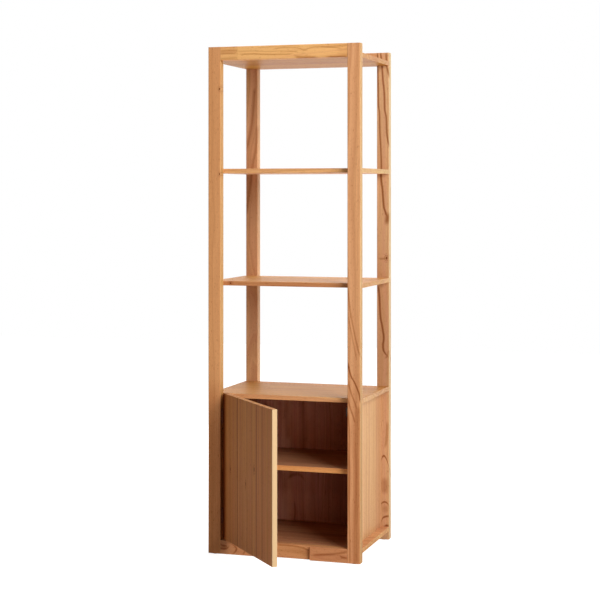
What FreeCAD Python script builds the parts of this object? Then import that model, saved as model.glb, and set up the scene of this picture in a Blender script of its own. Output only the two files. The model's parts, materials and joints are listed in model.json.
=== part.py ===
"""A tall narrow shelving unit of solid wood with a small cabinet at its foot.

Four posts and four rails carry five boards, tied together with glued dowels.
The cabinet has two inset side panels, a back panel, a loose inner shelf on
steel supports, and one plain door on two butt hinges at its left edge.

Millimetres. +Z is up, the front faces -Y, +X is to the right seen from the
front. The origin is on the floor at the middle of the footprint of the frame.
The door is drawn ajar, at door_rest_angle from closed.
"""
import FreeCAD, Part
import os

# Overall sizes
unit_width = 560.0
unit_depth = 430.0
unit_height = 1800.0

# Posts, rails and the glides under the posts
post_width = 46.0
post_depth = 32.0
rail_height = 48.0
glide_height = 2.0
glide_radius = 12.0
glide_stem_radius = 1.5
glide_stem_length = 6.0

# Shallow recess in the front of the lower front rail
recess_length = 195.0
recess_depth = 12.0

# Boards that run from side to side, and the levels they lie at
board_thickness = 16.0
shelf_pitch = 400.0

# Cabinet
side_panel_thickness = 16.0
back_panel_thickness = 8.0
back_rebate_depth = 6.0
back_panel_gap = 0.5
back_panel_reveal = 4.0
inner_shelf_thickness = 18.0
inner_shelf_height_share = 0.524
inner_shelf_side_gap = 1.0
inner_shelf_back_gap = 2.0

# Door, as it lies when closed
door_thickness = 18.0
door_setback = 12.0
door_side_gap = 3.5
door_bottom_gap = 4.0
door_top_rise = 3.0
door_rest_angle = 49.0

# Butt hinges
hinge_length = 50.0
hinge_end_distance = 82.0
knuckle_count = 5
knuckle_radius = 3.0
knuckle_clearance = 0.4
leaf_thickness = 1.2
leaf_back_margin = 2.5
hinge_pin_radius = 1.5
pin_running_clearance = 0.05
pin_head_radius = 2.6
pin_head_height = 1.0
hinge_screw_spacing = 30.0

# Wood screws
screw_radius = 1.5
screw_head_radius = 2.7
screw_head_height = 1.2
hinge_screw_length = 16.0
back_screw_length = 30.0
back_screw_count = 4
back_screw_side_distance = 60.0
strike_screw_length = 12.0
catch_screw_length = 14.0

# Magnetic catch on the right side panel, and its plate on the door
catch_drop = 32.0
catch_width = 16.0
catch_depth = 18.0
catch_flange_thickness = 3.0
catch_flange_length = 10.0
catch_wall = 1.5
magnet_thickness = 6.0
magnet_depth = 9.0
pole_thickness = 1.2
pole_reach = 0.7
strike_gap = 0.5
strike_thickness = 1.2
strike_width = 10.0
strike_height = 30.0

# Steel supports under the inner shelf
support_stem_radius = 2.5
support_stem_length = 10.0
support_plate_thickness = 1.5
support_plate_width = 14.0
support_plate_reach = 12.0
support_plate_drop = 14.0
support_edge_distance = 55.0

# Dowels
dowel_radius = 4.0
panel_dowel_radius = 3.0
dowel_end_chamfer = 1.0
dowel_depth_in_post = 20.0
dowel_depth_in_board = 25.0
dowel_depth_in_rail_side = 14.0
dowel_depth_in_rail_end = 30.0
rail_dowel_depth_in_post = 28.0
corner_dowel_edge_distance = 12.0
corner_dowel_spacing = 22.0
corner_dowel_count = 2
rail_dowel_edge_distance = 12.0
rail_dowel_spacing = 16.0
rail_dowel_count = 2
edge_dowel_side_distance = 110.0
edge_dowel_count = 3
panel_dowel_inset = 6.0
panel_dowel_end_distance = 62.0
panel_dowel_count = 3

# Clearances and eased edges
hole_clearance = 0.05
hole_end_clearance = 0.5
post_edge_round = 2.0
board_edge_round = 1.2
door_edge_round = 1.5
panel_edge_round = 0.8
recess_edge_round = 1.0
cut_overrun = 1.0

# An edge runs along an axis when at least this share of its length does
along_axis_share = 0.999

# Planes that several pieces share
left_face = -unit_width / 2
right_face = unit_width / 2
front_face = -unit_depth / 2
rear_face = unit_depth / 2
opening_left = left_face + post_width
opening_right = right_face - post_width
board_front = front_face + post_depth
board_rear = rear_face - post_depth
lower_rail_top = glide_height + rail_height
upper_rail_bottom = unit_height - rail_height

# Top surface of each board
bottom_board_level = lower_rail_top
top_board_level = upper_rail_bottom + board_thickness
upper_shelf_level = top_board_level - shelf_pitch
middle_shelf_level = upper_shelf_level - shelf_pitch
cabinet_top_level = middle_shelf_level - shelf_pitch
cabinet_ceiling = cabinet_top_level - board_thickness

# Inner shelf, and the catch above it
cabinet_inner_height = cabinet_ceiling - bottom_board_level
inner_shelf_middle = bottom_board_level + inner_shelf_height_share * cabinet_inner_height
inner_shelf_level = inner_shelf_middle + inner_shelf_thickness / 2
catch_level = cabinet_ceiling - catch_drop

# Closed door and the axis it turns on
door_left = opening_left + door_side_gap
door_right = opening_right - door_side_gap
door_outer = front_face + door_setback
door_inner = door_outer + door_thickness
door_bottom = lower_rail_top + door_bottom_gap
door_top = cabinet_top_level + door_top_rise
hinge_x = opening_left + knuckle_radius + knuckle_clearance
hinge_y = door_outer - knuckle_radius - knuckle_clearance
lower_hinge_centre = door_bottom + hinge_end_distance
upper_hinge_centre = door_top - hinge_end_distance

x_axis = FreeCAD.Vector(1, 0, 0)
y_axis = FreeCAD.Vector(0, 1, 0)
z_axis = FreeCAD.Vector(0, 0, 1)


def vector(x, y, z):
    return FreeCAD.Vector(x, y, z)


def block(x_low, x_high, y_low, y_high, z_low, z_high):
    """A plain box between two values on each axis."""
    return Part.makeBox(x_high - x_low, y_high - y_low, z_high - z_low, vector(x_low, y_low, z_low))


def ease_edges(shape, axis, radius):
    """Round the straight edges of a shape that run along one axis."""
    edges = []
    for edge in shape.Edges:
        run = edge.Vertexes[-1].Point - edge.Vertexes[0].Point
        if run.Length > radius and abs(run.dot(axis)) > along_axis_share * run.Length:
            edges.append(edge)
    return shape.makeFillet(radius, edges)


def rod(radius, start, axis, length):
    return Part.makeCylinder(radius, length, start, axis)


def dowel(joint, axis, behind, ahead, radius):
    """A dowel with chamfered ends that crosses a joint."""
    length = behind + ahead
    start = joint - axis * behind
    body = rod(radius, start, axis, length)
    return body.makeChamfer(dowel_end_chamfer, [body.Edges[0], body.Edges[2]])


def dowel_hole(joint, axis, behind, ahead, radius):
    """The bored hole of a dowel, in both of the pieces that it joins."""
    start = joint - axis * (behind + hole_end_clearance)
    length = behind + ahead + 2 * hole_end_clearance
    return rod(radius + hole_clearance, start, axis, length)


def screw(head_top, axis, length):
    """A countersunk screw whose flat head ends at head_top and which runs along axis."""
    head = Part.makeCone(screw_head_radius, screw_radius, screw_head_height, head_top, axis)
    shank = rod(screw_radius, head_top, axis, length)
    return head.fuse(shank).removeSplitter()


def screw_hole(head_top, axis, length):
    """The countersunk and bored hole that a screw sits in."""
    head = Part.makeCone(
        screw_head_radius + hole_clearance, screw_radius + hole_clearance, screw_head_height, head_top, axis
    )
    shank = rod(screw_radius + hole_clearance, head_top, axis, length + hole_end_clearance)
    mouth = rod(screw_head_radius + hole_clearance, head_top - axis * cut_overrun, axis, cut_overrun)
    return head.fuse([shank, mouth])


def spread(low, high, count):
    """Evenly spaced places from low to high, both included."""
    return [low + (high - low) * place / (count - 1) for place in range(count)]


def cut_holes(shape, holes):
    """Cut the holes whose boxes meet the shape's box."""
    near = [hole for hole in holes if hole.BoundBox.intersect(shape.BoundBox)]
    return shape.cut(near) if near else shape


def corner_dowel_places(level):
    """Joint point and direction of the dowels that hold one board to the four posts."""
    middle = level - board_thickness / 2
    places = []
    for side in (-1, 1):
        for place in range(corner_dowel_count):
            x = side * (unit_width / 2 - corner_dowel_edge_distance - place * corner_dowel_spacing)
            places.append((vector(x, board_front, middle), y_axis))
            places.append((vector(x, board_rear, middle), -y_axis))
    return places


def edge_dowel_places(level):
    """Joint point and direction of the dowels between one board and the rails at its edges."""
    middle = level - board_thickness / 2
    places = []
    for x in spread(
        opening_left + edge_dowel_side_distance, opening_right - edge_dowel_side_distance, edge_dowel_count
    ):
        places.append((vector(x, board_front, middle), y_axis))
        places.append((vector(x, board_rear, middle), -y_axis))
    return places


def rail_dowel_places(outer_edge, inward):
    """Joint point and direction of the dowels at the ends of a front rail and a rear rail."""
    places = []
    for y in (front_face + post_depth / 2, rear_face - post_depth / 2):
        for place in range(rail_dowel_count):
            z = outer_edge + inward * (rail_dowel_edge_distance + place * rail_dowel_spacing)
            places.append((vector(opening_left, y, z), x_axis))
            places.append((vector(opening_right, y, z), -x_axis))
    return places


def panel_dowel_places():
    """Joint point and direction of the dowels between the side panels and the posts."""
    places = []
    outer = post_width - side_panel_thickness
    for side in (-1, 1):
        x = side * (unit_width / 2 - outer - panel_dowel_inset)
        for z in spread(
            bottom_board_level + panel_dowel_end_distance,
            cabinet_ceiling - panel_dowel_end_distance,
            panel_dowel_count,
        ):
            places.append((vector(x, board_front, z), y_axis))
            places.append((vector(x, board_rear, z), -y_axis))
    return places


def dowel_sets():
    """Every set of dowels: its name, its places, its depths on both sides and its radius."""
    board_depths = (dowel_depth_in_post, dowel_depth_in_board, dowel_radius)
    edge_depths = (dowel_depth_in_rail_side, dowel_depth_in_board, dowel_radius)
    rail_depths = (rail_dowel_depth_in_post, dowel_depth_in_rail_end, dowel_radius)
    panel_depths = (dowel_depth_in_post, dowel_depth_in_board, panel_dowel_radius)
    return [
        ("top_board_dowels", corner_dowel_places(top_board_level), board_depths),
        ("top_board_rail_dowels", edge_dowel_places(top_board_level), edge_depths),
        ("upper_shelf_dowels", corner_dowel_places(upper_shelf_level), board_depths),
        ("middle_shelf_dowels", corner_dowel_places(middle_shelf_level), board_depths),
        ("cabinet_top_dowels", corner_dowel_places(cabinet_top_level), board_depths),
        ("bottom_board_dowels", corner_dowel_places(bottom_board_level), board_depths),
        ("bottom_board_rail_dowels", edge_dowel_places(bottom_board_level), edge_depths),
        ("upper_rail_dowels", rail_dowel_places(unit_height, -1), rail_depths),
        ("lower_rail_dowels", rail_dowel_places(glide_height, 1), rail_depths),
        ("side_panel_dowels", panel_dowel_places(), panel_depths),
    ]


def make_dowels():
    """The dowels of each set, and all of their holes."""
    groups = {}
    holes = []
    for name, places, (behind, ahead, radius) in dowel_sets():
        groups[name] = [dowel(joint, axis, behind, ahead, radius) for joint, axis in places]
        holes += [dowel_hole(joint, axis, behind, ahead, radius) for joint, axis in places]
    return groups, holes


def make_glides():
    """Round glides with a stem that is driven into the foot of each post."""
    glides = []
    holes = []
    for x in (left_face + post_width / 2, right_face - post_width / 2):
        for y in (front_face + post_depth / 2, rear_face - post_depth / 2):
            disc = rod(glide_radius, vector(x, y, 0), z_axis, glide_height)
            stem = rod(glide_stem_radius, vector(x, y, glide_height), z_axis, glide_stem_length)
            glides.append(disc.fuse(stem).removeSplitter())
            holes.append(
                rod(
                    glide_stem_radius + hole_clearance,
                    vector(x, y, glide_height - cut_overrun),
                    z_axis,
                    cut_overrun + glide_stem_length + hole_end_clearance,
                )
            )
    return glides, holes


def make_post(x_low, y_low):
    post = block(x_low, x_low + post_width, y_low, y_low + post_depth, glide_height, unit_height)
    return ease_edges(post, z_axis, post_edge_round)


def back_rebate():
    """The space that the back panel's edges take in the two rear posts."""
    return block(
        opening_left - back_rebate_depth,
        opening_right + back_rebate_depth,
        board_rear - cut_overrun,
        board_rear + back_panel_thickness,
        lower_rail_top,
        cabinet_top_level - back_panel_reveal + back_panel_gap,
    )


def make_rail(y_low, z_low):
    rail = block(opening_left, opening_right, y_low, y_low + post_depth, z_low, z_low + rail_height)
    return ease_edges(rail, x_axis, post_edge_round)


def make_recessed_rail():
    """The lower front rail, with the shallow recess in the middle of its front."""
    rail = block(opening_left, opening_right, front_face, board_front, glide_height, lower_rail_top)
    pocket = block(
        -recess_length / 2,
        recess_length / 2,
        front_face - cut_overrun,
        front_face + recess_depth,
        glide_height - cut_overrun,
        lower_rail_top + cut_overrun,
    )
    rail = rail.cut(pocket)
    corners = [
        edge
        for edge in rail.Edges
        if all(abs(vertex.Y - front_face) < recess_edge_round for vertex in edge.Vertexes)
        and all(abs(vertex.X) < opening_right - recess_edge_round for vertex in edge.Vertexes)
    ]
    rail = rail.makeFillet(recess_edge_round, corners)
    return ease_edges(rail, x_axis, recess_edge_round)


def make_board(level):
    """A board over the whole width, between the front posts and the rear posts."""
    board = block(left_face, right_face, board_front, board_rear, level - board_thickness, level)
    return ease_edges(board, x_axis, board_edge_round)


def make_side_panel(side):
    outer = unit_width / 2 - post_width + side_panel_thickness
    inner = unit_width / 2 - post_width
    x_low, x_high = sorted((side * outer, side * inner))
    return block(x_low, x_high, board_front, board_rear, bottom_board_level, cabinet_ceiling)


def make_back_panel():
    panel = block(
        opening_left - back_rebate_depth + back_panel_gap,
        opening_right + back_rebate_depth - back_panel_gap,
        board_rear,
        board_rear + back_panel_thickness,
        lower_rail_top,
        cabinet_top_level - back_panel_reveal,
    )
    return ease_edges(panel, x_axis, panel_edge_round)


def back_screw_places():
    y = board_rear + back_panel_thickness
    z = cabinet_top_level - board_thickness / 2
    reach = opening_right - back_screw_side_distance
    return [(vector(x, y, z), -y_axis) for x in spread(-reach, reach, back_screw_count)]


def make_inner_shelf():
    shelf = block(
        opening_left + inner_shelf_side_gap,
        opening_right - inner_shelf_side_gap,
        board_front,
        board_rear - inner_shelf_back_gap,
        inner_shelf_level - inner_shelf_thickness,
        inner_shelf_level,
    )
    return ease_edges(shelf, x_axis, board_edge_round)


def make_shelf_supports():
    """Steel angle supports, each with a stem in the side panel, and the holes for their stems."""
    supports = []
    holes = []
    underside = inner_shelf_level - inner_shelf_thickness
    for side in (-1, 1):
        wall = side * (unit_width / 2 - post_width)
        for y in (board_front + support_edge_distance, board_rear - support_edge_distance):
            tongue_low, tongue_high = sorted((wall, wall - side * support_plate_reach))
            plate_low, plate_high = sorted((wall, wall - side * support_plate_thickness))
            y_low = y - support_plate_width / 2
            y_high = y + support_plate_width / 2
            tongue_bottom = underside - support_plate_thickness
            plate_bottom = underside - support_plate_drop
            tongue = block(tongue_low, tongue_high, y_low, y_high, tongue_bottom, underside)
            plate = block(plate_low, plate_high, y_low, y_high, plate_bottom, underside)
            middle = vector(wall, y, underside - support_plate_drop / 2)
            stem = rod(support_stem_radius, middle, x_axis * side, support_stem_length)
            supports.append(tongue.fuse([plate, stem]).removeSplitter())
            holes.append(
                rod(
                    support_stem_radius + hole_clearance,
                    middle - x_axis * (side * cut_overrun),
                    x_axis * side,
                    cut_overrun + support_stem_length + hole_end_clearance,
                )
            )
    return supports, holes


def make_door():
    door = block(door_left, door_right, door_outer, door_inner, door_bottom, door_top)
    door = ease_edges(door, z_axis, door_edge_round)
    return ease_edges(door, x_axis, door_edge_round / 2)


def hinge_screw_heights(centre):
    return (centre - hinge_screw_spacing / 2, centre + hinge_screw_spacing / 2)


def leaf_screw_y():
    """Middle of the leaves from front to back."""
    return (door_outer + door_inner - leaf_back_margin) / 2


def frame_screw_places(centre):
    x = opening_left + leaf_thickness
    return [(vector(x, leaf_screw_y(), z), -x_axis) for z in hinge_screw_heights(centre)]


def door_screw_places(centre):
    x = door_left - leaf_thickness
    return [(vector(x, leaf_screw_y(), z), x_axis) for z in hinge_screw_heights(centre)]


def knuckle_spans(centre, first):
    """The heights that every second knuckle takes, starting with the first or the second."""
    pitch = hinge_length / knuckle_count
    bottom = centre - hinge_length / 2
    spans = []
    for place in range(first, knuckle_count, 2):
        low = bottom + place * pitch
        high = low + pitch
        if place > 0:
            low += knuckle_clearance / 2
        if place < knuckle_count - 1:
            high -= knuckle_clearance / 2
        spans.append((low, high))
    return spans


def pin_bore(centre, clearance):
    start = vector(hinge_x, hinge_y, centre - hinge_length / 2 - cut_overrun)
    return rod(hinge_pin_radius + clearance, start, z_axis, hinge_length + 2 * cut_overrun)


def make_frame_leaf(centre):
    """The leaf on the post, with its three knuckles."""
    leaf = block(
        opening_left,
        opening_left + leaf_thickness,
        hinge_y,
        door_inner - leaf_back_margin,
        centre - hinge_length / 2,
        centre + hinge_length / 2,
    )
    clear = knuckle_radius + knuckle_clearance
    gaps = [
        block(
            opening_left - cut_overrun,
            opening_left + leaf_thickness + cut_overrun,
            hinge_y - cut_overrun,
            hinge_y + clear,
            low - knuckle_clearance,
            high + knuckle_clearance,
        )
        for low, high in knuckle_spans(centre, 1)
    ]
    barrels = []
    for low, high in knuckle_spans(centre, 0):
        barrels.append(rod(knuckle_radius, vector(hinge_x, hinge_y, low), z_axis, high - low))
    leaf = leaf.cut(gaps).fuse(barrels).cut(pin_bore(centre, hole_clearance))
    return leaf.cut([screw_hole(*place, hinge_screw_length) for place in frame_screw_places(centre)])


def make_door_leaf(centre):
    """The leaf on the edge of the door, with its two knuckles."""
    leaf = block(
        door_left - leaf_thickness,
        door_left,
        door_outer,
        door_inner - leaf_back_margin,
        centre - hinge_length / 2,
        centre + hinge_length / 2,
    )
    pieces = []
    tab_rear = door_outer + leaf_thickness
    for low, high in knuckle_spans(centre, 1):
        pieces.append(rod(knuckle_radius, vector(hinge_x, hinge_y, low), z_axis, high - low))
        pieces.append(block(door_left - leaf_thickness, door_left, hinge_y, tab_rear, low, high))
    leaf = leaf.fuse(pieces).cut(pin_bore(centre, pin_running_clearance))
    return leaf.cut([screw_hole(*place, hinge_screw_length) for place in door_screw_places(centre)])


def make_hinge_pin(centre):
    """The pin, with a low button head at both ends."""
    low = centre - hinge_length / 2
    high = centre + hinge_length / 2
    shaft = rod(hinge_pin_radius, vector(hinge_x, hinge_y, low), z_axis, high - low)
    foot = rod(pin_head_radius, vector(hinge_x, hinge_y, low - pin_head_height), z_axis, pin_head_height)
    head = rod(pin_head_radius, vector(hinge_x, hinge_y, high), z_axis, pin_head_height)
    return shaft.fuse([foot, head])


def catch_middle_x():
    return door_right - strike_width / 2 - door_edge_round / 2


def catch_front():
    return door_inner + strike_thickness + strike_gap


def catch_magnet_space(grow):
    """The block that the magnet and its two pole plates take, grown by a clearance."""
    half_width = magnet_thickness / 2 + pole_thickness + grow
    half_height = strike_height / 2 + grow
    return block(
        catch_middle_x() - half_width,
        catch_middle_x() + half_width,
        catch_front(),
        catch_front() + pole_reach + magnet_depth + grow,
        catch_level - half_height,
        catch_level + half_height,
    )


def catch_screw_places():
    places = []
    x = opening_right - catch_flange_thickness
    reach = strike_height / 2 + catch_wall + catch_flange_length / 2
    y = catch_front() + pole_reach + catch_depth / 2
    for side in (-1, 1):
        places.append((vector(x, y, catch_level + side * reach), x_axis))
    return places


def make_catch_housing():
    """The catch's housing: a hollow nose for the magnet between two screw flanges."""
    y_low = catch_front() + pole_reach
    half_nose = strike_height / 2 + catch_wall
    flange_reach = half_nose + catch_flange_length
    nose = block(
        opening_right - catch_width,
        opening_right,
        y_low,
        y_low + catch_depth,
        catch_level - half_nose,
        catch_level + half_nose,
    )
    nose = ease_edges(nose, y_axis, panel_edge_round)
    flange = block(
        opening_right - catch_flange_thickness,
        opening_right,
        y_low,
        y_low + catch_depth,
        catch_level - flange_reach,
        catch_level + flange_reach,
    )
    housing = nose.fuse(flange).cut(catch_magnet_space(hole_clearance))
    return housing.cut([screw_hole(*place, catch_screw_length) for place in catch_screw_places()])


def make_catch_magnet():
    half_width = magnet_thickness / 2
    half_height = strike_height / 2
    return block(
        catch_middle_x() - half_width,
        catch_middle_x() + half_width,
        catch_front() + pole_reach,
        catch_front() + pole_reach + magnet_depth,
        catch_level - half_height,
        catch_level + half_height,
    )


def make_catch_poles():
    """The two steel plates that carry the pull of the magnet to the front."""
    poles = []
    half_height = strike_height / 2
    for side in (-1, 1):
        near = catch_middle_x() + side * magnet_thickness / 2
        x_low, x_high = sorted((near, near + side * pole_thickness))
        poles.append(
            block(
                x_low,
                x_high,
                catch_front(),
                catch_front() + pole_reach + magnet_depth,
                catch_level - half_height,
                catch_level + half_height,
            )
        )
    return poles


def strike_screw_place():
    return (vector(catch_middle_x(), door_inner + strike_thickness, catch_level), -y_axis)


def make_strike_plate():
    plate = block(
        catch_middle_x() - strike_width / 2,
        catch_middle_x() + strike_width / 2,
        door_inner,
        door_inner + strike_thickness,
        catch_level - strike_height / 2,
        catch_level + strike_height / 2,
    )
    plate = ease_edges(plate, y_axis, panel_edge_round)
    return plate.cut(screw_hole(*strike_screw_place(), strike_screw_length))


def swing(shape):
    """Turn a piece of the closed door to the angle at which the door is drawn."""
    turned = shape.copy()
    turned.rotate(vector(hinge_x, hinge_y, 0), z_axis, -door_rest_angle)
    return turned


def make_pieces():
    """Every node: its name and the solids in it."""
    dowels, holes = make_dowels()
    glides, glide_holes = make_glides()
    supports, support_holes = make_shelf_supports()
    centres = (("lower", lower_hinge_centre), ("upper", upper_hinge_centre))
    frame_screws = [place for name, centre in centres for place in frame_screw_places(centre)]
    door_screws = [place for name, centre in centres for place in door_screw_places(centre)]
    holes += glide_holes + support_holes
    holes += [screw_hole(*place, hinge_screw_length) for place in frame_screws]
    holes += [screw_hole(*place, back_screw_length) for place in back_screw_places()]
    holes += [screw_hole(*place, catch_screw_length) for place in catch_screw_places()]

    wood = {
        "front_left_post": make_post(left_face, front_face),
        "front_right_post": make_post(opening_right, front_face),
        "rear_left_post": make_post(left_face, board_rear).cut(back_rebate()),
        "rear_right_post": make_post(opening_right, board_rear).cut(back_rebate()),
        "upper_front_rail": make_rail(front_face, upper_rail_bottom),
        "upper_rear_rail": make_rail(board_rear, upper_rail_bottom),
        "lower_front_rail": make_recessed_rail(),
        "lower_rear_rail": make_rail(board_rear, glide_height),
        "top_board": make_board(top_board_level),
        "upper_shelf": make_board(upper_shelf_level),
        "middle_shelf": make_board(middle_shelf_level),
        "cabinet_top": make_board(cabinet_top_level),
        "bottom_board": make_board(bottom_board_level),
        "left_side_panel": make_side_panel(-1),
        "right_side_panel": make_side_panel(1),
        "cabinet_back": make_back_panel(),
        "inner_shelf": make_inner_shelf(),
    }
    pieces = {name: [cut_holes(shape, holes)] for name, shape in wood.items()}
    pieces.update(dowels)
    pieces["foot_glides"] = glides
    pieces["inner_shelf_supports"] = supports
    pieces["back_screws"] = [screw(*place, back_screw_length) for place in back_screw_places()]

    for name, centre in centres:
        pieces[name + "_hinge_frame_leaf"] = [make_frame_leaf(centre)]
        pieces[name + "_hinge_door_leaf"] = [swing(make_door_leaf(centre))]
        pieces[name + "_hinge_pin"] = [make_hinge_pin(centre)]
    pieces["hinge_frame_screws"] = [screw(*place, hinge_screw_length) for place in frame_screws]
    pieces["hinge_door_screws"] = [swing(screw(*place, hinge_screw_length)) for place in door_screws]

    pieces["catch_housing"] = [make_catch_housing()]
    pieces["catch_magnet"] = [make_catch_magnet()]
    pieces["catch_pole_plates"] = make_catch_poles()
    pieces["catch_screws"] = [screw(*place, catch_screw_length) for place in catch_screw_places()]

    door_holes = [screw_hole(*place, hinge_screw_length) for place in door_screws]
    door_holes.append(screw_hole(*strike_screw_place(), strike_screw_length))
    pieces["door"] = [swing(cut_holes(make_door(), door_holes))]
    pieces["strike_plate"] = [swing(make_strike_plate())]
    pieces["strike_screw"] = [swing(screw(*strike_screw_place(), strike_screw_length))]
    return pieces


os.makedirs("parts", exist_ok=True)
for node, solids in make_pieces().items():
    shape = solids[0] if len(solids) == 1 else Part.makeCompound(solids)
    shape.exportStep("parts/" + node + ".step")
    print(node, len(shape.Solids), "solid(s),", round(shape.Volume), "cubic mm, valid", shape.isValid())
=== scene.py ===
import json
import math

import bpy
from mathutils import Matrix, Vector


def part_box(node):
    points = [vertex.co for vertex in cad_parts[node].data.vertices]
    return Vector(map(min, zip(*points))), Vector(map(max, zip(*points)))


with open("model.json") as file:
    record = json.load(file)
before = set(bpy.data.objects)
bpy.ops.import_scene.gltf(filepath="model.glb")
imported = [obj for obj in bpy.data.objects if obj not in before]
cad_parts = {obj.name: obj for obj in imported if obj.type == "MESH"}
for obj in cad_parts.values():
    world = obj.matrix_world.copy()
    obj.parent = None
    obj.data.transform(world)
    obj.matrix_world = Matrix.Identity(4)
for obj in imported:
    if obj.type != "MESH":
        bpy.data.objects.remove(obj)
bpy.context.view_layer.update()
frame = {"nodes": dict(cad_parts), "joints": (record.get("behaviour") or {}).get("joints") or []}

# Camera: level, turned to the left, with the picture shifted down instead of a tilt
picture_side = 600
focal_pixels = 1541.5
horizon_rise_pixels = 106.2
film_width = 36.0
camera_place = (1.6987, -5.3378, 1.2787)
camera_heading = 0.30917

# Studio lamps: place, size of the softbox in metres, and watts; all of them face the middle of the unit
lamp_target = (0, 0, 0.9)
lamps = {
    "key_softbox": ((3.95, -2.75, 2.75), (2.8, 2.6), 272),
    "rear_softbox": ((-0.4, 2.6, 3.2), (2.4, 1.6), 48),
    "rear_strip": ((1.3, 3.0, 1.4), (1.2, 2.4), 28),
    "back_softbox": ((-0.6, 2.8, 0.9), (3.2, 1.8), 12),
    "overhead_softbox": ((0, 0, 3.6), (2.4, 2.4), 34),
}
room_strength = 0.068
white_strength = 1.0

# Floor: its size, how far round the unit it shows its shadow, and how much it glows for the camera there
floor_side = 14.0
shadow_reach = 1.1
shadow_edge = 2.4
floor_glow_near = 0.8
floor_grey = 0.8
floor_roughness = 0.9

# Timber colours: early wood, late wood, rosy bands, pale sapwood, and the dark colour that every dark mark
# goes towards, both the heart's dark oils and painted shade
early_wood = (0.72, 0.375, 0.155, 1)
late_wood = (0.48, 0.200, 0.072, 1)
rosy_wood = (0.59, 0.245, 0.120, 1)
sapwood = (0.75, 0.57, 0.32, 1)
heart_stain_and_shade = (0.30, 0.165, 0.10, 1)
usual_end_tint = (0.92, 1.10, 1.13)
white = (1, 1, 1, 1)

# How an oiled board answers light: uprights and rails, and the boards that hands and things polish
upright_specular = 0.03
board_specular = 0.052
grain_relief = 0.00012

# How wide a glue line shows, and how far the pale lipping on the door's edge hides the timber's own colour
glue_line_width = 0.0009
lipping_cover = 0.75

# A drawn line, of heart wood and also the wide bands of painted shade: how soon it fades at its ends, and
# how far it leans as it goes into the board
line_fade = 0.006
streak_lean = 0.35
arch_lean = 1.5

# A knot pushes the growth aside by so many times its half width
knot_push = 3

# How squarely a face has to look one way before it counts as a board's edge, broad face or end
facing_starts, facing_full = 0.5, 0.9

# Fittings: the soft start and the full depth of slow patches in their finish
patch_starts, patch_full = 0.3, 0.7
plastic_specular = 0.03

# The door: its hinge axis, and how far it stands open at rest
door_open_angle = math.radians(49)
hinge_place = Vector(frame["joints"][0]["pos_m"])


def add_camera():
    """The photograph's view of the unit."""
    camera = bpy.data.cameras.new("camera")
    camera.sensor_width = film_width
    camera.lens = focal_pixels / picture_side * film_width
    camera.shift_y = -horizon_rise_pixels / picture_side
    holder = bpy.data.objects.new("camera", camera)
    holder.location = camera_place
    holder.rotation_euler = (math.radians(90), 0, camera_heading)
    bpy.context.scene.collection.objects.link(holder)
    bpy.context.scene.camera = holder


def add_lamps():
    """Soft rectangular lamps, which the camera doesn't see."""
    for name, (place, size, watts) in lamps.items():
        lamp = bpy.data.lights.new(name, "AREA")
        lamp.shape = "RECTANGLE"
        lamp.size, lamp.size_y = size
        lamp.energy = watts
        holder = bpy.data.objects.new(name, lamp)
        holder.location = place
        towards = Vector(lamp_target) - Vector(place)
        holder.rotation_euler = towards.to_track_quat("-Z", "Y").to_euler()
        holder.visible_camera = False
        bpy.context.scene.collection.objects.link(holder)


def feed(tree, socket, value):
    """Gives a socket a link from another socket, or a plain value."""
    if isinstance(value, bpy.types.NodeSocket):
        tree.links.new(value, socket)
    else:
        socket.default_value = value


def calculate(tree, operation, *terms):
    """One arithmetic step on numbers."""
    node = tree.nodes.new("ShaderNodeMath")
    node.operation = operation
    for socket, term in zip(node.inputs, terms):
        feed(tree, socket, term)
    return node.outputs["Value"]


def calculate_vector(tree, operation, *terms):
    """One arithmetic step on vectors. LENGTH gives a number."""
    node = tree.nodes.new("ShaderNodeVectorMath")
    node.operation = operation
    for socket, term in zip(node.inputs, terms):
        feed(tree, socket, term)
    return node.outputs["Value" if operation == "LENGTH" else "Vector"]


def total(tree, *terms):
    """The sum of several numbers."""
    result = terms[0]
    for term in terms[1:]:
        result = calculate(tree, "ADD", result, term)
    return result


def darkest(tree, masks):
    """The strongest of several masks."""
    result = masks[0]
    for mask in masks[1:]:
        result = calculate(tree, "MAXIMUM", result, mask)
    return result


def swing(tree, value, amount):
    """A value from 0 to 1, turned into a swing of half that amount either side of nothing."""
    centred = calculate(tree, "SUBTRACT", value, 0.5)
    return calculate(tree, "MULTIPLY", centred, amount)


def share_of_way(tree, way, reach):
    """Where a point lies on a way from -reach to reach, from 0 to 1."""
    return calculate(tree, "MULTIPLY_ADD", way, 0.5 / reach, 0.5)


def split(tree, vector):
    """The three parts of a vector."""
    node = tree.nodes.new("ShaderNodeSeparateXYZ")
    feed(tree, node.inputs["Vector"], vector)
    return node.outputs["X"], node.outputs["Y"], node.outputs["Z"]


def join(tree, x, y, z):
    """A vector from its three parts."""
    node = tree.nodes.new("ShaderNodeCombineXYZ")
    for socket, part in zip(node.inputs, (x, y, z)):
        feed(tree, socket, part)
    return node.outputs["Vector"]


def ease(tree, value, low, high, start=0.0, end=1.0):
    """Goes smoothly from start to end while the value goes from low to high."""
    node = tree.nodes.new("ShaderNodeMapRange")
    node.interpolation_type = "SMOOTHSTEP"
    feed(tree, node.inputs["Value"], value)
    feed(tree, node.inputs["From Min"], low)
    feed(tree, node.inputs["From Max"], high)
    feed(tree, node.inputs["To Min"], start)
    feed(tree, node.inputs["To Max"], end)
    return node.outputs["Result"]


def noise(tree, place, detail=2.0, roughness=0.5, one_way=False, colour=False):
    """Smooth noise from 0 to 1 over a place, or over one number."""
    node = tree.nodes.new("ShaderNodeTexNoise")
    node.noise_dimensions = "1D" if one_way else "3D"
    feed(tree, node.inputs["W" if one_way else "Vector"], place)
    node.inputs["Scale"].default_value = 1.0
    node.inputs["Detail"].default_value = detail
    node.inputs["Roughness"].default_value = roughness
    return node.outputs["Color" if colour else "Fac"]


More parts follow.
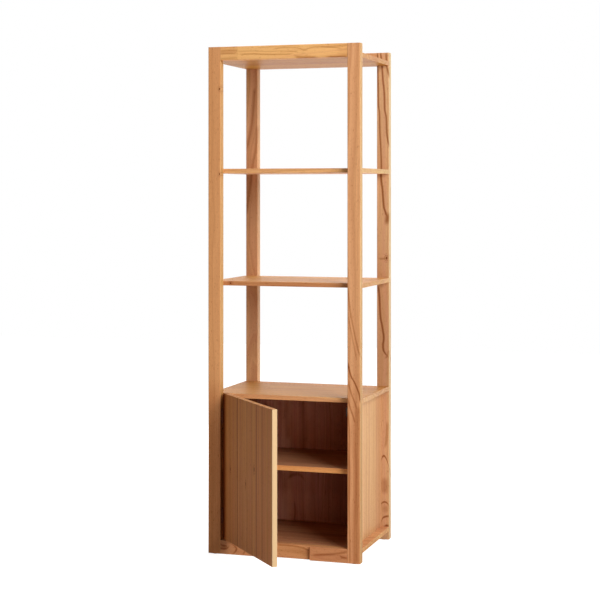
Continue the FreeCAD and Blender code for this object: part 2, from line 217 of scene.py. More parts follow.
def drawn_out_noise(tree, place, scale, detail=2.0, roughness=0.5):
    """Smooth noise from 0 to 1 with its own scale each way."""
    return noise(tree, calculate_vector(tree, "MULTIPLY", place, scale), detail, roughness)


def lottery(tree, number):
    """Three random numbers that belong to one whole number."""
    node = tree.nodes.new("ShaderNodeTexWhiteNoise")
    node.noise_dimensions = "1D"
    feed(tree, node.inputs["W"], number)
    return node.outputs["Color"]


def blend_colour(tree, share, first, second, way="MIX"):
    """Goes from one colour to another by a share."""
    node = tree.nodes.new("ShaderNodeMix")
    node.data_type = "RGBA"
    node.blend_type = way
    node.clamp_factor = True
    for label, value in (("Factor_Float", share), ("A_Color", first), ("B_Color", second)):
        socket = next(s for s in node.inputs if s.identifier == label)
        feed(tree, socket, value)
    return next(s for s in node.outputs if s.identifier == "Result_Color")


def curve_through(tree, value, point_shares):
    """A smooth curve through given points, both ways from 0 to 1."""
    node = tree.nodes.new("ShaderNodeFloatCurve")
    curve = node.mapping.curves[0]
    ordered = sorted(point_shares)
    curve.points[0].location = ordered[0]
    curve.points[1].location = ordered[-1]
    for point in ordered[1:-1]:
        curve.points.new(*point)
    node.mapping.update()
    feed(tree, node.inputs["Value"], value)
    return node.outputs["Value"]


def start_group(name, inputs, outputs):
    """A named group with its sockets: gives the group, what goes in and what comes out."""
    group = bpy.data.node_groups.new(name, "ShaderNodeTree")
    for label, kind, value in inputs:
        socket = group.interface.new_socket(label, in_out="INPUT", socket_type="NodeSocket" + kind)
        socket.default_value = value
    for label, kind in outputs:
        group.interface.new_socket(label, in_out="OUTPUT", socket_type="NodeSocket" + kind)
    given = group.nodes.new("NodeGroupInput").outputs
    result = group.nodes.new("NodeGroupOutput").inputs
    return group, given, result


def place_group(tree, group, **values):
    """Puts a group in a tree; a word with an underscore stands for a socket's name with a space."""
    node = tree.nodes.new("ShaderNodeGroup")
    node.node_tree = group
    for label, value in values.items():
        feed(tree, node.inputs[label.replace("_", " ").title()], value)
    return node.outputs


def make_glued_staves():
    """Boards glued up from strips: random numbers of each strip, and the thin glue line between two."""
    tree, given, result = start_group(
        "glued staves",
        [
            ("Across", "Float", 0.0), ("Stave Width", "Float", 0.1), ("First Joint", "Float", 0.0),
            ("Seed", "Float", 0.0),
        ],
        [("Stave", "Color"), ("Glue Line", "Float")],
    )
    from_joint = calculate(tree, "SUBTRACT", given["Across"], given["First Joint"])
    count = calculate(tree, "DIVIDE", from_joint, given["Stave Width"])
    number = calculate(tree, "FLOOR", count)
    seeded = calculate(tree, "ADD", number, given["Seed"])
    tree.links.new(lottery(tree, seeded), result["Stave"])
    apart_share = calculate(tree, "PINGPONG", count, 0.5)
    apart = calculate(tree, "MULTIPLY", apart_share, given["Stave Width"])
    tree.links.new(ease(tree, apart, 0.0, glue_line_width, 1.0, 0.0), result["Glue Line"])
    return tree


def make_growth_field():
    """How far a point lay from the heart of its tree, with the sway and ripple of real growth."""
    tree, given, result = start_group(
        "growth field",
        [
            ("Place", "Vector", (0, 0, 0)), ("Pith", "Vector", (0, 0, 0)), ("Lean", "Vector", (0, 0, 0)),
            ("Sway", "Float", 0.01), ("Seed", "Float", 0.0),
        ],
        [("Growth", "Float")],
    )
    sways_per_metre = 1.7
    broad_ripple = (16.0, 16.0, 4.0)
    broad_ripple_height = 0.010
    fine_ripple = (75.0, 75.0, 13.0)
    fine_ripple_height = 0.0016
    across, through, along = split(tree, given["Place"])
    travelled = calculate(tree, "MULTIPLY_ADD", along, sways_per_metre, given["Seed"])
    wander = noise(tree, travelled, one_way=True, colour=True)
    sway = calculate_vector(tree, "SUBTRACT", wander, (0.5, 0.5, 0.5))
    sway = calculate_vector(tree, "MULTIPLY", sway, join(tree, given["Sway"], given["Sway"], 0.0))
    lean = calculate_vector(tree, "MULTIPLY", given["Lean"], join(tree, along, along, 0.0))
    pith = calculate_vector(tree, "ADD", calculate_vector(tree, "ADD", given["Pith"], lean), sway)
    offset = calculate_vector(tree, "SUBTRACT", join(tree, across, through, 0.0), pith)
    radius = calculate_vector(tree, "LENGTH", offset)
    shifted = calculate_vector(tree, "ADD", given["Place"], join(tree, given["Seed"], 0.0, 0.0))
    broad = drawn_out_noise(tree, shifted, broad_ripple, detail=1.0)
    fine = drawn_out_noise(tree, shifted, fine_ripple)
    ripples = (swing(tree, broad, broad_ripple_height), swing(tree, fine, fine_ripple_height))
    tree.links.new(total(tree, radius, *ripples), result["Growth"])
    return tree


def make_ring_lines():
    """Year rings over the growth: sharp late wood lines, and slow bands of deeper and of rosier wood."""
    tree, given, result = start_group(
        "ring lines",
        [("Growth", "Float", 0.0), ("Ring Width", "Float", 0.003), ("Seed", "Float", 0.0)],
        [("Late", "Float"), ("Band", "Float"), ("Rosy", "Float")],
    )
    bands = {"Band": (0.011, 3.0), "Rosy": (0.017, 7.0)}
    band_detail, band_roughness = 3.0, 0.55
    band_starts, band_full = 0.25, 0.75
    uneven_rings = 3.0
    rings_per_change = 0.23
    late_start, late_peak = 0.2, 0.9
    faintest_ring = 0.25
    count = calculate(tree, "DIVIDE", given["Growth"], given["Ring Width"])
    slow = calculate(tree, "MULTIPLY_ADD", count, rings_per_change, given["Seed"])
    uneven = swing(tree, noise(tree, slow, detail=1.0, one_way=True), uneven_rings)
    count = calculate(tree, "ADD", count, uneven)
    year = calculate(tree, "ADD", calculate(tree, "FLOOR", count), given["Seed"])
    part = calculate(tree, "FRACT", count)
    strength = ease(tree, split(tree, lottery(tree, year))[0], 0.0, 1.0, faintest_ring, 1.0)
    rise = ease(tree, part, late_start, late_peak)
    fall = ease(tree, part, late_peak, 1.0, 1.0, 0.0)
    late = calculate(tree, "MULTIPLY", calculate(tree, "MULTIPLY", rise, fall), strength)
    tree.links.new(late, result["Late"])
    for label, (width, seed_shift) in bands.items():
        seed = calculate(tree, "MULTIPLY", given["Seed"], seed_shift)
        over = calculate(tree, "MULTIPLY_ADD", given["Growth"], 1 / width, seed)
        slow = noise(tree, over, band_detail, band_roughness, one_way=True)
        tree.links.new(ease(tree, slow, band_starts, band_full), result[label])
    return tree


def make_fibre():
    """What the saw and the plane leave open: fibres, pores and small flecks, drawn out along the grain."""
    tree, given, result = start_group(
        "fibre",
        [("Place", "Vector", (0, 0, 0)), ("Seed", "Float", 0.0)],
        [("Fibre", "Float"), ("Pores", "Float"), ("Flecks", "Float")],
    )
    fine_scale = (1100.0, 1100.0, 14.0)
    fine_detail, fine_roughness = 3.0, 0.6
    coarse_scale = (240.0, 240.0, 3.5)
    fibre_starts, fibre_full = 0.3, 0.7
    spots = {"Pores": ((2300.0, 2300.0, 110.0), 0.62, 0.72), "Flecks": ((330.0, 330.0, 75.0), 0.66, 0.76)}
    shifted = calculate_vector(tree, "ADD", given["Place"], join(tree, 0.0, 0.0, given["Seed"]))
    fine = drawn_out_noise(tree, shifted, fine_scale, fine_detail, fine_roughness)
    coarse = drawn_out_noise(tree, shifted, coarse_scale)
    both = calculate(tree, "MULTIPLY", calculate(tree, "ADD", fine, coarse), 0.5)
    tree.links.new(ease(tree, both, fibre_starts, fibre_full), result["Fibre"])
    for label, (scale, starts, full) in spots.items():
        found = drawn_out_noise(tree, shifted, scale, detail=1.0)
        tree.links.new(ease(tree, found, starts, full), result[label])
    return tree


def make_knot():
    """A branch through the board: its dark core and the rings round it, and where it pushes the growth."""
    tree, given, result = start_group(
        "knot",
        [
            ("Place", "Vector", (0, 0, 0)), ("Centre", "Vector", (0, 0, 0)),
            ("Size", "Vector", (0.01, 0.1, 0.02)),
        ],
        [("Swell", "Float"), ("Dark", "Float")],
    )
    swell_reach = 4.0
    core_full, core_ends = 0.5, 1.2
    ring_starts, ring_full = 0.45, 0.9
    rings_full, rings_end, rings_strength = 1.0, 3.6, 0.6
    offset = calculate_vector(tree, "SUBTRACT", given["Place"], given["Centre"])
    apart = calculate_vector(tree, "LENGTH", calculate_vector(tree, "DIVIDE", offset, given["Size"]))
    tree.links.new(ease(tree, apart, 0.0, swell_reach, 1.0, 0.0), result["Swell"])
    core = ease(tree, apart, core_full, core_ends, 1.0, 0.0)
    ring = ease(tree, calculate(tree, "FRACT", apart), ring_starts, ring_full)
    fading = ease(tree, apart, rings_full, rings_end, rings_strength, 0.0)
    rings = calculate(tree, "MULTIPLY", ring, fading)
    tree.links.new(calculate(tree, "MAXIMUM", core, rings), result["Dark"])
    return tree


def make_streak():
    """A dark band, strongest on its route and soft at both sides: a streak in the wood, and, drawn wide,
    painted shade.
    """
    tree, given, result = start_group(
        "dark streak and painted shade",
        [
            ("Across", "Float", 0.0), ("Route", "Float", 0.0), ("Half Width", "Float", 0.001),
            ("Strength", "Float", 1.0),
        ],
        [("Dark", "Float")],
    )
    softness = 2.8
    offset = calculate(tree, "ABSOLUTE", calculate(tree, "SUBTRACT", given["Across"], given["Route"]))
    soft_edge = calculate(tree, "MULTIPLY", given["Half Width"], softness)
    tree.links.new(ease(tree, offset, 0.0, soft_edge, given["Strength"], 0.0), result["Dark"])
    return tree


def make_arris_wear():
    """Where two faces of a board meet: the edge that hands rub pale."""
    tree, given, result = start_group(
        "arris wear",
        [
            ("Place", "Vector", (0, 0, 0)), ("Half Size", "Vector", (0.1, 0.1, 0.1)),
            ("Reach", "Float", 0.0022),
        ],
        [("Wear", "Float")],
    )
    rubbed_scale = (60.0, 60.0, 25.0)
    rubbed_starts, rubbed_full = 0.3, 0.65
    inside = calculate_vector(tree, "ABSOLUTE", given["Place"])
    inside = calculate_vector(tree, "SUBTRACT", given["Half Size"], inside)
    near = [ease(tree, part, 0.0, given["Reach"], 1.0, 0.0) for part in split(tree, inside)]
    edges = [calculate(tree, "MULTIPLY", near[i], near[(i + 1) % 3]) for i in range(3)]
    patches = drawn_out_noise(tree, given["Place"], rubbed_scale)
    rubbed = ease(tree, patches, rubbed_starts, rubbed_full)
    worn = calculate(tree, "MULTIPLY", darkest(tree, edges), rubbed)
    tree.links.new(worn, result["Wear"])
    return tree


def make_timber(growth_field, ring_lines, fibre_marks):
    """Oiled hardwood: colour, roughness and relief from the growth of the tree, with the painted light and
    shade that come in through Tint, Tone and Dark.
    """
    tree, given, result = start_group(
        "oiled timber",
        [
            ("Place", "Vector", (0, 0, 0)), ("Stave", "Color", (0.5, 0.5, 0.5, 1)),
            ("Pith", "Vector", (0, 0, 0)), ("Lean", "Vector", (0, 0, 0)), ("Sway", "Float", 0.01),
            ("Swell", "Float", 0.0), ("Ring Width", "Float", 0.003), ("Seed", "Float", 0.0),
            ("Tint", "Color", white), ("Tone", "Float", 0.0), ("Dark", "Float", 0.0),
            ("Glue Line", "Float", 0.0), ("Wear", "Float", 0.0), ("End", "Float", 0.0),
            ("Bands", "Float", 0.5), ("Rings", "Float", 0.35), ("Fibres", "Float", 0.25),
            ("Rosiness", "Float", 0.5),
        ],
        [("Color", "Color"), ("Roughness", "Float"), ("Height", "Float")],
    )
    stave_shift = (0.16, 0.07, 4.0)
    plain_depth = 0.42
    stave_tone, stave_rosiness = 0.5, 0.8
    end_tone = 0.15
    pore_darkness, fleck_darkness, glue_darkness = 0.30, 0.22, 0.30
    wear_lift = 0.30
    plain_roughness = 0.45
    fibre_roughness, pore_roughness, end_roughness, wear_polish = 0.10, 0.15, 0.15, -0.08
    fibre_height, pore_height, ring_height, glue_height = 0.5, -1.0, 0.3, -0.6
    own = calculate_vector(tree, "SUBTRACT", given["Stave"], (0.5, 0.5, 0.5))
    shift = calculate_vector(tree, "MULTIPLY", own, stave_shift)
    place = calculate_vector(tree, "ADD", given["Place"], shift)
    grown = place_group(
        tree, growth_field,
        place=place, pith=given["Pith"], lean=given["Lean"], sway=given["Sway"], seed=given["Seed"],
    )
    growth = calculate(tree, "ADD", grown["Growth"], given["Swell"])
    rings = place_group(
        tree, ring_lines, growth=growth, ring_width=given["Ring Width"], seed=given["Seed"]
    )
    marks = place_group(tree, fibre_marks, place=place, seed=given["Seed"])
    stave_first, stave_second, _ = split(tree, given["Stave"])
    depth = total(
        tree,
        plain_depth,
        swing(tree, rings["Band"], given["Bands"]),
        calculate(tree, "MULTIPLY", rings["Late"], given["Rings"]),
        swing(tree, marks["Fibre"], given["Fibres"]),
        swing(tree, stave_first, stave_tone),
        calculate(tree, "MULTIPLY", given["End"], end_tone),
        given["Tone"],
    )
    colour = blend_colour(tree, depth, early_wood, late_wood)
    rosy = total(tree, rings["Rosy"], swing(tree, stave_second, stave_rosiness))
    rosy = calculate(tree, "MULTIPLY", rosy, given["Rosiness"])
    colour = blend_colour(tree, rosy, colour, rosy_wood)
    colour = blend_colour(tree, 1.0, colour, given["Tint"], way="MULTIPLY")
    # Dark marks, painted shade among them, darken the colour towards the heart stain and shade colour
    dark = total(
        tree,
        given["Dark"],
        calculate(tree, "MULTIPLY", marks["Pores"], pore_darkness),
        calculate(tree, "MULTIPLY", marks["Flecks"], fleck_darkness),
        calculate(tree, "MULTIPLY", given["Glue Line"], glue_darkness),
    )
    darkening = tree.nodes.new("ShaderNodeGamma")
    darkening.inputs["Color"].default_value = heart_stain_and_shade
    feed(tree, darkening.inputs["Gamma"], dark)
    colour = blend_colour(tree, 1.0, colour, darkening.outputs["Color"], way="MULTIPLY")
    lift = calculate(tree, "MULTIPLY", given["Wear"], wear_lift)
    colour = blend_colour(tree, lift, colour, early_wood)
    tree.links.new(colour, result["Color"])
    roughness = total(
        tree,
        plain_roughness,
        swing(tree, marks["Fibre"], fibre_roughness),
        calculate(tree, "MULTIPLY", marks["Pores"], pore_roughness),
        calculate(tree, "MULTIPLY", given["End"], end_roughness),
        calculate(tree, "MULTIPLY", given["Wear"], wear_polish),
    )
    tree.links.new(roughness, result["Roughness"])
    height = total(
        tree,
        swing(tree, marks["Fibre"], fibre_height),
        calculate(tree, "MULTIPLY", marks["Pores"], pore_height),
        calculate(tree, "MULTIPLY", rings["Late"], ring_height),
        calculate(tree, "MULTIPLY", given["Glue Line"], glue_height),
    )
    tree.links.new(height, result["Height"])
    return tree


glued_staves = make_glued_staves()
knot_group = make_knot()
streak_group = make_streak()
arris_wear = make_arris_wear()
oiled_timber = make_timber(make_growth_field(), make_ring_lines(), make_fibre())


def new_material(name):
    """An empty material with its shader: gives the material, its tree and the shader."""
    material = bpy.data.materials.new(name)
    material.use_nodes = True
    return material, material.node_tree, material.node_tree.nodes["Principled BSDF"]


def add_relief(tree, shader, height, distance):
    """Small relief on a surface."""
    bump = tree.nodes.new("ShaderNodeBump")
    bump.inputs["Distance"].default_value = distance
    feed(tree, bump.inputs["Height"], height)
    tree.links.new(bump.outputs["Normal"], shader.inputs["Normal"])


def closed_corners(node):
    """The corners of a piece's box; the door's are taken as if it stood shut."""
    if node != "door":
        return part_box(node)
    shut = Matrix.Rotation(door_open_angle, 3, "Z")
    vertices = frame["nodes"][node].data.vertices
    places = [hinge_place + shut @ (vertex.co - hinge_place) for vertex in vertices]
    low = Vector([min(place[i] for place in places) for i in range(3)])
    high = Vector([max(place[i] for place in places) for i in range(3)])
    return low, high


def turn_shut(tree, vector, centre):
    """A place or a direction on the open door, turned to where it is when the door stands shut."""
    turn = tree.nodes.new("ShaderNodeVectorRotate")
    turn.rotation_type = "Z_AXIS"
    turn.inputs["Angle"].default_value = door_open_angle
    turn.inputs["Center"].default_value = centre
    tree.links.new(vector, turn.inputs["Vector"])
    return turn.outputs["Vector"]


def board_place(tree, node, grain):
    """The place in a board from its middle: across its face, through it and along its grain.
    Gives that, how far it faces the board's long edges, its broad faces, its ends and its far face,
    and half the board's size."""
    low, high = closed_corners(node)
    source = tree.nodes.new("ShaderNodeTexCoord")
    place = source.outputs["Object"]
    facing = source.outputs["Normal"]
    if node == "door":
        place = turn_shut(tree, place, hinge_place)
        facing = turn_shut(tree, facing, (0, 0, 0))
    place = calculate_vector(tree, "SUBTRACT", place, (low + high) / 2)
    order = ["XYZ".index(letter) for letter in grain]
    parts = split(tree, place)
    place = join(tree, *[parts[i] for i in order])
    either_way = split(tree, calculate_vector(tree, "ABSOLUTE", facing))
    faced = [either_way[i] for i in order] + [split(tree, facing)[order[1]]]
    facing_shares = [ease(tree, part, facing_starts, facing_full) for part in faced]
    half = (high - low) / 2
    return place, facing_shares, Vector([half[i] for i in order])


def draw_lines(tree, place, half, line_shares, runs):
    """Lines that run along a board or across it, one mask each: lines of other wood, and wide soft bands of
    painted shade.
    A line is its route, half its width and its strength. A route is a list of (share of the way that it
    runs, share of the other way), and a line fades at its ends."""
    if not line_shares:
        return []
    across, through, along = split(tree, place)
    behind_face = calculate(tree, "ADD", through, half.y)
    if runs == "along":
        run, run_half, other, other_half, lean = along, half.z, across, half.x, streak_lean
    else:
        run, run_half, other, other_half, lean = across, half.x, along, half.z, arch_lean
    run_share = share_of_way(tree, run, run_half)
    leaning = calculate(tree, "MULTIPLY_ADD", behind_face, lean, other)
    fade_share = line_fade / run_half
    masks = []
    for route_shares, half_width, strength in line_shares:
        route = swing(tree, curve_through(tree, run_share, route_shares), 2 * other_half)
        streak = place_group(
            tree, streak_group, across=leaning, route=route, half_width=half_width, strength=strength
        )
        first, last = min(route_shares)[0], max(route_shares)[0]
        started = ease(tree, run_share, first - fade_share, first + fade_share)
        not_ended = ease(tree, run_share, last - fade_share, last + fade_share, 1.0, 0.0)
        mask = calculate(tree, "MULTIPLY", streak["Dark"], started)
        masks.append(calculate(tree, "MULTIPLY", mask, not_ended))
    return masks


def draw_knots(tree, place, half, knot_shares):
    """Branches through a board, each its (share across, share along) and its half size.
    Gives a dark mask and a push on the growth for each."""
    masks = []
    swells = []
    for (across_share, along_share), size in knot_shares:
        centre = ((2 * across_share - 1) * half.x, 0, (2 * along_share - 1) * half.z)
        branch = place_group(tree, knot_group, place=place, centre=centre, size=size)
        masks.append(branch["Dark"])
        swells.append(calculate(tree, "MULTIPLY", branch["Swell"], knot_push * size[0]))
    return masks, swells


def tinted_shares(tree, along, half, facing_shares, face_shading_tint, far_face_tint, end_tint, overhang):
    """The parts of a board that have a tint of their own: how far a point belongs to each, and the tint. The
    face shading tint is painted light and shade that makes the broad faces lighter or darker than the edges,
    and the overhang's tint takes the painted shade off the part outside the cabinet.
    """
    _, face, end, far_face = facing_shares
    tinted = [(end, end_tint)]
    if face_shading_tint:
        tinted.append((face, face_shading_tint))
    if far_face_tint:
        tinted.append((far_face, far_face_tint))
    if overhang:
        reach, overhang_tint = overhang
        from_end = calculate(tree, "SUBTRACT", half.z, calculate(tree, "ABSOLUTE", along))
        outside = ease(tree, from_end, reach, reach + glue_line_width, 1.0, 0.0)
        tinted.append((calculate(tree, "MULTIPLY", outside, face), overhang_tint))
    return tinted


def timber_material(
        node, grain="XYZ", seed=0.0, pith=(0.05, 0.15), lean=(0.0, 0.0), sway=0.03, ring_width=0.0032,
        bands=0.8, rings=0.4, fibres=0.35, rosiness=0.6, staves=None, knot_shares=(), streak_and_shade_shares=(),
        arch_shares=(), pale_streak_shares=(), edge_shade_shares=None, tone=0.0, tone_and_shade_shares=None,
        cross_tone_and_shade_shares=None, face_tone_and_shade_shares=None, tint=(1, 1, 1), face_shading_tint=None, far_face_tint=None,
        end_tint=usual_end_tint, overhang=None, lipping=0.0, specular=upright_specular):
    """The material of one wooden piece: the same oiled timber, cut from its own place in the tree, with
    painted light and shade in its colour.
    """
    material, tree, shader = new_material("oiled_timber_" + node)
    place, facing_shares, half = board_place(tree, node, grain)
    edge, face, end, far_face = facing_shares
    across, _, along = split(tree, place)
    values = {
        "pith": (*pith, 0), "lean": (*lean, 0), "sway": sway, "ring_width": ring_width, "seed": seed,
        "bands": bands, "rings": rings, "fibres": fibres, "rosiness": rosiness, "end": end,
    }
    if staves:
        stave_width, first_joint, way = staves
        strips = place_group(
            tree, glued_staves, across=across if way == "across" else along,
            stave_width=stave_width, first_joint=first_joint, seed=seed,
        )
        values["stave"] = strips["Stave"]
        values["glue_line"] = strips["Glue Line"]
    values["tint"] = (*tint, 1)
    tinted = tinted_shares(tree, along, half, facing_shares, face_shading_tint, far_face_tint, end_tint, overhang)
    for share, own_tint in tinted:
        values["tint"] = blend_colour(tree, share, values["tint"], (*own_tint, 1))
    # Where the far face has a tint of its own, marks and tone curves show on the near face alone, since the
    # painted light and shade among them falls there
    near_side = calculate(tree, "SUBTRACT", 1.0, far_face) if far_face_tint else 1.0
    masks, swells = draw_knots(tree, place, half, knot_shares)
    masks += draw_lines(tree, place, half, streak_and_shade_shares, "along")
    masks += draw_lines(tree, place, half, arch_shares, "across")
    # Painted shade along a board's edges, as deep as the curve along the board
    if edge_shade_shares:
        darkening = curve_through(tree, share_of_way(tree, along, half.z), edge_shade_shares)
        masks.append(calculate(tree, "MULTIPLY", darkening, edge))
    if masks:
        values["dark"] = calculate(tree, "MULTIPLY", darkest(tree, masks), near_side)
    if swells:
        values["swell"] = total(tree, *swells)
    # The tone and the tone curves hold painted light and shade as well as the wood's own tone
    tone_and_shade_terms = [tone]
    tone_and_shade_curves = (
        (along, half.z, tone_and_shade_shares, near_side),
        (across, half.x, cross_tone_and_shade_shares, near_side),
        (along, half.z, face_tone_and_shade_shares, face),
    )
    for way, reach, shares, where in tone_and_shade_curves:
        if shares:
            change = swing(tree, curve_through(tree, share_of_way(tree, way, reach), shares), 2.0)
            tone_and_shade_terms.append(calculate(tree, "MULTIPLY", change, where))
    paler = draw_lines(tree, place, half, pale_streak_shares, "along")
    if paler:
        lighter = calculate(tree, "MULTIPLY", darkest(tree, paler), near_side)
        tone_and_shade_terms.append(calculate(tree, "MULTIPLY", lighter, -1.0))
    values["tone"] = total(tree, *tone_and_shade_terms)
    values["wear"] = place_group(tree, arris_wear, place=place, half_size=half)["Wear"]
    finish = place_group(tree, oiled_timber, place=place, **values)
    colour = finish["Color"]
    if lipping:
        strip = ease(tree, across, half.x - lipping - glue_line_width, half.x - lipping)
        colour = blend_colour(tree, strip, colour, blend_colour(tree, lipping_cover, colour, sapwood))
    tree.links.new(colour, shader.inputs["Base Color"])
    tree.links.new(finish["Roughness"], shader.inputs["Roughness"])
    shader.inputs["Specular IOR Level"].default_value = specular
    add_relief(tree, shader, finish["Height"], grain_relief)
    return material
